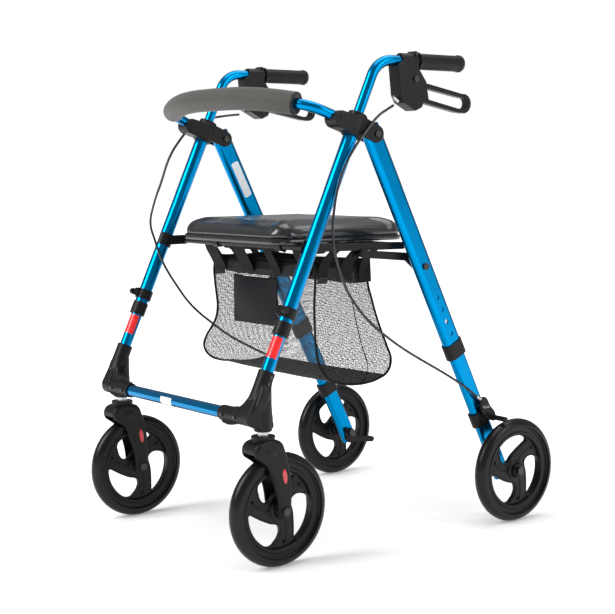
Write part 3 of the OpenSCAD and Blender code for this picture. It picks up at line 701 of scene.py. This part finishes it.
# ---- handles ----
# Ribbed thermoplastic rubber grips pushed over the tube ends, above two-part nylon brake
# housings with their loop levers.
rubber = moulded("grip_rubber_moulded", "#0C0C0C", "#121212", 0.5, 0.9, 0.1, Specular_IOR_Level=0.25)
outline = [(9.6, 0), (16.2, 0), (17, 1), (17, 3.6), (16.2, 4.8), (14.4, 6)]
for step in range(23):
    base = 9 + 4.0 * step
    outline += [(14.6, base), (14.6, base + 2.6), (14.1, base + 3.0), (14.1, base + 3.6)]
outline += [(15.2, 101.5), (15.8, 103), (15.8, 107.5), (14.6, 110.2), (9.6, 110.8), (9.6, 104)]
for side, sign in SIDES:
    grip = bmesh.new()
    start = Matrix.Translation((sign * LEG_X * MM, GRIP_Y * MM, HANDLE_Z * MM))
    along = start @ Matrix.Rotation(-math.pi / 2, 4, "X")
    turned(grip, outline, along, 56)
    turned(grip, ((0, 104), (9.7, 104), (9.7, 110.4), (0, 110.6)), along, 40)
    made = piece("grip_rubber_" + side, grip, rubber, "frame")
    if sign > 0:
        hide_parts("handle_grips")
    rounded(
        "lever_housing_moulded_" + side, "lever_housing_" + side, 0.9, 5, nylon, "frame",
    )
    rounded(
        "brake_lever_moulded_" + side, "brake_lever_" + side, 0.9, 6, nylon, "brake_lever_" + side,
    )


# ---- brake cables ----
# Steel cable in a black PVC sheath, from each lever housing down to the brake on the rear leg. Two
# runs a side, an upper and a lower, both fixed in place; only the ferrule rides on the foot.
sheath = moulded("pvc_cable_sheath", "#101012", "#18181A", 0.32, 1.0, 0.03)
LEFT_RUN = (
    (238, -8, 794), (246, -30, 786), (255, -58, 774), (255, -84, 750), (254, -112, 718),
    (253, -134, 685),
    (252, -147, 652), (251, -155, 615), (250, -158, 578), (250, -154, 542), (250, -143, 506),
    (250, -126, 470), (250, -100, 436), (250, -68, 406), (250, -32, 380), (250, 6, 356), (250, 46, 334),
    (250, 88, 312), (250, 130, 289), (250, 168, 266), (251, 190, 250), (251, 200, 244),
)
RIGHT_RUN = (
    (-238, -8, 794), (-242, -38, 791), (-250, -66, 786), (-256, -88, 778), (-257, -120, 761),
    (-255, -145, 738), (-249, -172, 705), (-242, -196, 658), (-234, -220, 612), (-225, -233, 577),
    (-213, -231, 545),
    (-206, -222, 510), (-206, -205, 480), (-208, -184, 452), (-212, -160, 424), (-216, -130, 397),
    (-218, -96, 372), (-220, -58, 346), (-222, -14, 322), (-224, 36, 298), (-230, 86, 279),
    (-240, 130, 264), (-250, 166, 252), (-251, 188, 247), (-251, 200, 244),
)
for side, run, start, split in (("left", LEFT_RUN, 7, 17), ("right", RIGHT_RUN, 10, 20)):
    points = [Vector(p) * MM for p in run]
    foot = "rear_foot_" + side
    upper, lower = bmesh.new(), bmesh.new()
    swept(upper, points[: split + 1], 2.4)
    swept(lower, points[split:], 2.4)
    top = piece("cable_upper_" + side, upper, sheath, None)
    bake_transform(top)
    bottom = piece("cable_lower_" + side, lower, sheath, None)
    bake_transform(bottom)
    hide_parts("brake_cable_" + side)
    ferrule = bmesh.new()
    lie = (points[-1] - points[-3]).to_track_quat("Z", "Y").to_matrix().to_4x4()
    turned(
        ferrule, ((0, -9), (2.9, -9), (3.3, -8), (3.3, 3), (2.2, 4), (0, 4)),
        Matrix.Translation(points[-1]) @ lie, 24,
    )
    piece("cable_ferrule_" + side, ferrule, zinc, foot)


# ---- seat frame ----
# Powder-coated steel: two rails, a front tube on lugs, folding side links, and bent wire bails and
# hooks of 5 mm rod.
powder = moulded("steel_powder_coated", "#0A0A0A", "#101010", 0.4, 0.7, 0.05, Specular_IOR_Level=0.22)
dress(powder, "seat_frame", "side_links")
HOOK = (
    (101, -158, 551), (101, -158, 540), (104, -156, 535), (110, -156, 534), (114, -157, 538),
    (114, -158, 551),
)
wire_shape = bmesh.new()
for hand in (-1, 1):
    swept(wire_shape, [(hand * x * MM, y * MM, z * MM) for x, y, z in HOOK], 1.6)
piece("seat_hooks", wire_shape, powder, "seat_frame")


# ---- seat ----
# A moulded pad: foam in a glossy vinyl skin, pulled tight over the board and welded along a lip
# underneath. The skin swells a little between its edges; its grain is drawn at 1.5 mm.
skin, tree, shader = finish("vinyl_seat_skin", "#101012", 0.3, Coat_Weight=0.45, Coat_Roughness=0.1)
place = node(tree, "TexCoord").outputs["Object"]
pores = node(tree, "TexVoronoi", {"Vector": place, "Scale": 1000 / 1.5}, feature="F1")
wear = node(tree, "TexNoise", {"Vector": place, "Scale": 14.0, "Detail": 5.0})
tone = node(tree, "ValToRGB", {"Fac": wear.outputs["Fac"]})
tone.color_ramp.elements[0].color, tone.color_ramp.elements[1].color = srgb("#0E0E10"), srgb("#19191B")
tree.links.new(tone.outputs["Color"], shader.inputs["Base Color"])
rub = node(tree, "MapRange", {"Value": wear.outputs["Fac"], "To Min": 0.24, "To Max": 0.32})
tree.links.new(rub.outputs[0], shader.inputs["Roughness"])
pore_depth = {"Height": pores.outputs["Distance"], "Strength": 0.18, "Distance": 0.06 * MM}
grain = node(tree, "Bump", pore_depth)
tree.links.new(grain.outputs[0], shader.inputs["Normal"])
SEAT_HALF_X, SEAT_FRONT, SEAT_BACK, SEAT_CORNER = 162, -207, 93, 30


def seat_ring(shape, inset, height):
    """A rounded rectangle of vertices round the seat."""
    radius = max(SEAT_CORNER - inset, 6)
    ring = []
    for cx, cy, start in (
        (1, 1, 0), (-1, 1, 90), (-1, -1, 180), (1, -1, 270),
    ):
        x = cx * (SEAT_HALF_X - inset - radius)
        y = (SEAT_BACK - inset - radius) if cy > 0 else (SEAT_FRONT + inset + radius)
        for step in range(9):
            a = math.radians(start + step * 11.25)
            spot = Vector((x + radius * math.cos(a), y + radius * math.sin(a), height)) * MM
            ring.append(shape.verts.new(spot))
    return [shape.edges.new((a, b)) for a, b in zip(ring, ring[1:] + ring[:1])]


def seat_loft(rings):
    """A closed shape through rings of (inset, height) in millimetres."""
    shape = bmesh.new()
    loops = [seat_ring(shape, inset, height) for inset, height in rings]
    for low, high in zip(loops, loops[1:]):
        bmesh.ops.bridge_loops(shape, edges=low + high)
    for loop in (loops[0], loops[-1]):
        bmesh.ops.contextual_create(shape, geom=loop)
    return shape


pad_rings = (
    (4, 557), (1.5, 558.5), (0.8, 563), (1, 568), (2.5, 574), (5.5, 579.5), (11, 584), (20, 586.8),
    (34, 588),
)
pad = piece("seat_cushion", seat_loft(pad_rings), skin, "seat")
remesh = pad.modifiers.new("cloth grid", "REMESH")
remesh.mode = "VOXEL"
remesh.voxel_size = 5 * MM
remesh.use_smooth_shade = True
settled(pad)
flat_state = [v.co.copy() for v in pad.data.vertices]
scene = bpy.context.scene
held = pad.vertex_groups.new(name="held")
held.add([v.index for v in pad.data.vertices if v.co.z < 562 * MM], 1.0, "REPLACE")
cloth = pad.modifiers.new("cloth", "CLOTH")
cloth.settings.quality = 6
cloth.settings.mass = 0.4
cloth.settings.tension_stiffness = 60
cloth.settings.compression_stiffness = 60
cloth.settings.bending_stiffness = 8
cloth.settings.use_pressure = True
cloth.settings.uniform_pressure_force = 4
cloth.settings.effector_weights.gravity = 0
cloth.settings.vertex_group_mass = "held"
cloth.point_cache.frame_start, cloth.point_cache.frame_end = 1, 20
for step in range(1, 21):
    scene.frame_set(step)
shaped = pad.evaluated_get(bpy.context.evaluated_depsgraph_get())
swollen = [v.co.copy() for v in shaped.data.vertices]
pad.modifiers.clear()
for vertex, before, after in zip(pad.data.vertices, flat_state, swollen):
    move = after - before
    move.length = min(move.length, 4 * MM)
    vertex.co = before + move
scene.frame_set(1)
ease = pad.modifiers.new("ease", "SMOOTH")
ease.factor, ease.iterations = 0.5, 6
fine = pad.modifiers.new("fine", "SUBSURF")
fine.levels = fine.render_levels = 1
settled(pad)
pad.data.shade_smooth()
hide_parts("seat_pad")
lip_rings = ((6, 548.6), (0.6, 549), (-0.4, 550.5), (-0.4, 556), (0.4, 557.4), (8, 558))
piece("seat_lip", seat_loft(lip_rings), skin, "seat")


# ---- basket ----
# A bag of knitted polyester net on a D-shaped side panel each side, bound with black tape, with a
# woven band round its rim, a solid floor, a cloth pocket in front and straps up to the seat frame.
NET_PITCH = 2.4  # mm between holes of the net, drawn coarser than the real 1.5 mm
net, tree, shader = finish("polyester_net_knitted", "#1E1E1E", 0.7)
uv = node(tree, "UVMap", uv_map="weave").outputs["UV"]
knit = {"Vector": uv, "Scale": 1000 / NET_PITCH, "Randomness": 0.25}
holes = node(tree, "TexVoronoi", knit, feature="F1")
thread = node(
    tree, "MapRange", {"Value": holes.outputs["Distance"], "From Min": 0.40, "From Max": 0.47}
)
tree.links.new(thread.outputs[0], shader.inputs["Alpha"])
yarn = node(tree, "ValToRGB", {"Fac": holes.outputs["Distance"]})
yarn.color_ramp.elements[0].color, yarn.color_ramp.elements[1].color = srgb("#3A3A38"), srgb("#1B1B1B")
tree.links.new(yarn.outputs["Color"], shader.inputs["Base Color"])


def woven(name, dark, light, pitch, roughness):
    """Plain-woven cloth, its thread pitch in millimetres."""
    material, tree, shader = finish(name, dark, roughness, Specular_IOR_Level=0.15)
    place = node(tree, "TexCoord").outputs["Object"]
    wave = {"Vector": place, "Scale": 1000 / pitch / 6.28, "Distortion": 0.6}
    warp = node(tree, "TexWave", wave, bands_direction="DIAGONAL")
    weft = node(tree, "TexWave", wave, bands_direction="Z")
    both = node(tree, "Math", {0: warp.outputs["Fac"], 1: weft.outputs["Fac"]}, operation="MULTIPLY")
    rumple = node(tree, "TexNoise", {"Vector": place, "Scale": 26.0, "Detail": 3.0})
    mixed = node(tree, "Math", {0: both.outputs[0], 1: rumple.outputs["Fac"]}, operation="MULTIPLY")
    tone = node(tree, "ValToRGB", {"Fac": mixed.outputs[0]})
    tone.color_ramp.elements[0].color, tone.color_ramp.elements[1].color = srgb(dark), srgb(light)
    tree.links.new(tone.outputs["Color"], shader.inputs["Base Color"])
    bump = node(tree, "Bump", {"Height": both.outputs[0], "Strength": 0.5, "Distance": 0.3 * MM})
    tree.links.new(bump.outputs[0], shader.inputs["Normal"])
    return material


webbing = woven("polyester_webbing_woven", "#0B0B0B", "#1A1A1A", 2.0, 0.65)
pocket_cloth = woven("polyester_cloth_woven", "#0E0F12", "#1B1C22", 2.4, 0.55)
# the near and far outline of the bag, from the front of the rim round the bottom to its back
NEAR_EDGE = (
    (157, -124, 516), (163, -128, 492), (162, -130, 448), (163, -130, 394), (166, -129, 356),
    (170, -124, 326),
    (171, -104, 302), (168, -64, 289), (164, -22, 285), (166, 15, 290), (170, 38, 303), (170, 46, 324),
    (167, 38, 352), (163, 23, 391), (160, 5, 448), (159, -3, 482), (157, 4, 516),
)
FAR_EDGE = (
    (-157, -124, 516), (-161, -127, 490), (-154, -128, 446), (-148, -129, 412), (-151, -130, 394),
    (-170, -131, 368), (-192, -130, 344), (-200, -126, 322), (-198, -106, 304), (-190, -64, 295),
    (-186, -22, 292),
    (-188, 15, 296), (-192, 40, 308), (-190, 44, 328), (-178, 36, 354), (-158, 12, 436), (-157, 4, 516),
)


def round_path(points, count):
    """Evenly stepped points along a smooth curve."""
    curve = bent_curve([Vector(p) * MM for p in points], False)
    curve.resolution_u = 12
    shape = bmesh.new()
    curve_mesh(curve, shape)
    shape.verts.ensure_lookup_table()
    here = min(shape.verts, key=lambda v: (v.co - Vector(points[0]) * MM).length)
    line, behind = [here.co.copy()], None
    while True:
        ahead_verts = [e.other_vert(here) for e in here.link_edges if e.other_vert(here) is not behind]
        if not ahead_verts:
            break
        behind, here = here, ahead_verts[0]
        line.append(here.co.copy())
    shape.free()
    lengths = [0.0]
    for a, b in zip(line, line[1:]):
        lengths.append(lengths[-1] + (b - a).length)
    spread, at = [], 0
    for step in range(count):
        want = lengths[-1] * step / (count - 1)
        while at < len(line) - 2 and lengths[at + 1] < want:
            at += 1
        share = (want - lengths[at]) / max(lengths[at + 1] - lengths[at], 1e-9)
        spread.append(line[at].lerp(line[at + 1], share))
    return spread


ROWS = 49
near_line, far_line = round_path(NEAR_EDGE, ROWS), round_path(FAR_EDGE, ROWS)


def cloth_grid(rows, columns, where, wrinkle=0.0, seed=0):
    """A sheet of vertices, its UV map in metres so that the weave keeps its size."""
    shape = bmesh.new()
    grid = bmesh.ops.create_grid(shape, x_segments=columns - 1, y_segments=rows - 1, size=0.5)
    layer = shape.loops.layers.uv.new("weave")
    shape.verts.ensure_lookup_table()
    spots = {}
    for vert in shape.verts:
        u, v = vert.co.x + 0.5, vert.co.y + 0.5
        spots[vert.index] = (u, v)
    for vert in shape.verts:
        u, v = spots[vert.index]
        co = where(u, v)
        if wrinkle:
            edge = math.sin(math.pi * u) * math.sin(math.pi * v)
            fold = noise.noise(Vector((co.x * 26 + seed, co.y * 26, co.z * 8)))
            co = co + Vector((fold, fold, 0)) * wrinkle * MM * edge
        vert.co = co
    steps = [k / 24 for k in range(25)]
    wide = sum((where(b, 0.3) - where(a, 0.3)).length for a, b in zip(steps, steps[1:]))
    tall = sum((where(0.5, b) - where(0.5, a)).length for a, b in zip(steps, steps[1:]))
    for face in shape.faces:
        for loop in face.loops:
            u, v = spots[loop.vert.index]
            loop[layer].uv = (u * wide, v * tall)
    return shape


def on_line(line, v):
    """The point a share v along a line."""
    at = v * (len(line) - 1)
    low = min(int(at), len(line) - 2)
    return line[low].lerp(line[low + 1], at - low)


def wrap(u, v):
    """The strip that forms the front, floor and back of the bag."""
    point = on_line(near_line, v).lerp(on_line(far_line, v), u)
    middle = math.sin(math.pi * u)
    floor_share = max(0.0, 1 - abs(v - 0.5) / 0.16)
    front_share = max(0.0, 1 - abs(v - 0.2) / 0.2)
    back_share = max(0.0, 1 - abs(v - 0.8) / 0.2)
    sag = Vector((0, 5 * front_share + 8 * back_share, -5 * floor_share)) * MM
    return point + middle * sag


def side_panel(line, out):
    """The D-shaped side inside an edge, bulging outwards."""
    def where(u, v):
        half = v * 0.5
        front, back = on_line(line, half), on_line(line, 1 - half)
        bulge = math.sin(math.pi * u) * math.sin(math.pi * min(v * 1.1, 1)) * 5 * MM
        return front.lerp(back, u) + Vector((out * bulge, 0, 0))
    return where


strip = cloth_grid(73, 37, wrap, 2.0)
bag = piece("basket_net", strip, net, "frame", 180)
bag.data.materials.append(webbing)
for polygon in bag.data.polygons:
    if polygon.center.z < 0.298 and abs(polygon.normal.z) > 0.6:
        polygon.material_index = 1
panels = []
for name, line, out, seed in (("near", near_line, 1, 4), ("far", far_line, -1, 9)):
    cloth_side = cloth_grid(37, 25, side_panel(line, out), 2.5, seed)
    panels.append(piece("basket_side_" + name, cloth_side, net, "frame", 180))
binding = bmesh.new()
for line in (near_line, far_line):
    swept(binding, line[::2], 2.3)
swept(binding, [wrap(0.37, v) for v in (0.0, 0.1, 0.2, 0.3, 0.36)], 1.4)
near_side = side_panel(near_line, 1)
seam = [near_side(0.62, v) + Vector((0.0015, 0, 0)) for v in (0.25, 0.4, 0.55, 0.7, 0.85, 0.95)]
swept(binding, seam, 0.8)
panels.append(piece("basket_binding", binding, webbing, "frame"))


def band_wall(u, v):
    """The woven band round the rim: it hangs lower at the back than in front."""
    corners = [near_line[0], far_line[0], far_line[-1], near_line[-1], near_line[0]]
    at = u * 4
    side_at = min(int(at), 3)
    along_side = at - side_at
    point = corners[side_at].lerp(corners[side_at + 1], along_side)
    centre = Vector((0, -0.06, point.z))
    away = (point - centre).normalized()
    back = (point.y + 0.124) / 0.128
    drop = (27 + 16 * back + 3 * math.sin(along_side * math.pi)) * MM * v
    dip = 4 * MM * math.sin(along_side * math.pi)
    point = point + away * 2.2 * MM + Vector((0, 0, -drop - dip + 1 * MM))
    if side_at == 3:
        point.x += 3 * MM * v
    return point


band = piece("basket_band", cloth_grid(6, 97, band_wall), webbing, "frame", 180)
thick = band.modifiers.new("thick", "SOLIDIFY")
thick.thickness = 1.4 * MM
settled(band)
panels.append(band)


def pocket_wall(u, v):
    """The pocket on the front of the bag, puffed out a little."""
    x = 52 - 140 * u
    z = 482 - 92 * v
    puff = math.sin(math.pi * u) * math.sin(math.pi * v)
    droop = 3 * MM * math.sin(math.pi * u) * (1 - v)
    return Vector((x * MM, -0.1315 - 7 * MM * puff, z * MM - droop))


pocket_sheet = cloth_grid(25, 33, pocket_wall, 2.2, 2)
pocket = piece("basket_pocket", pocket_sheet, pocket_cloth, "frame", 180)
hem = pocket.modifiers.new("hem", "SOLIDIFY")
hem.thickness = 1.6 * MM
settled(pocket)
panels.append(pocket)


def ribbon(shape, points, width):
    """Adds a flat strap through points, its width a vector in metres."""
    part = bmesh.new()
    half = Vector(width) / 2
    path = [Vector(p) * MM for p in points]
    ends = [part.verts.new(path[0] - half), part.verts.new(path[0] + half)]
    edge = part.edges.new(ends)
    for a, b in zip(path, path[1:]):
        grown = bmesh.ops.extrude_edge_only(part, edges=[edge])["geom"]
        verts = [g for g in grown if isinstance(g, bmesh.types.BMVert)]
        bmesh.ops.translate(part, vec=b - a, verts=verts)
        edge = next(g for g in grown if isinstance(g, bmesh.types.BMEdge))
    bmesh.ops.recalc_face_normals(part, faces=part.faces)
    bmesh.ops.solidify(part, geom=part.faces[:], thickness=0.0014)
    joined(shape, part)


straps = bmesh.new()
for x, wide in ((-135, 38), (-42, 38), (50, 25), (140, 24)):
    fall = ((x, -153, 540), (x, -149, 528), (x, -139, 512), (x, -131, 498), (x, -129, 490))
    ribbon(straps, fall, (wide * MM, 0, 0))
panels.append(piece("basket_front_straps", straps, webbing, "frame"))
for part in [bag] + panels:
    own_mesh(part)
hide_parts("basket_bag")
side_straps = bmesh.new()
for hand in (-1, 1):
    for y, wide in ((-112, 22), (-58, 28), (-18, 17)):
        drop = ((200, 538), (190, 531), (170, 514), (162.5, 497), (161.5, 476))
        ribbon(side_straps, [(hand * x, y, z) for x, z in drop], (0, wide * MM, 0))
hung = piece("basket_side_straps", side_straps, webbing, None)
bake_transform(hung)
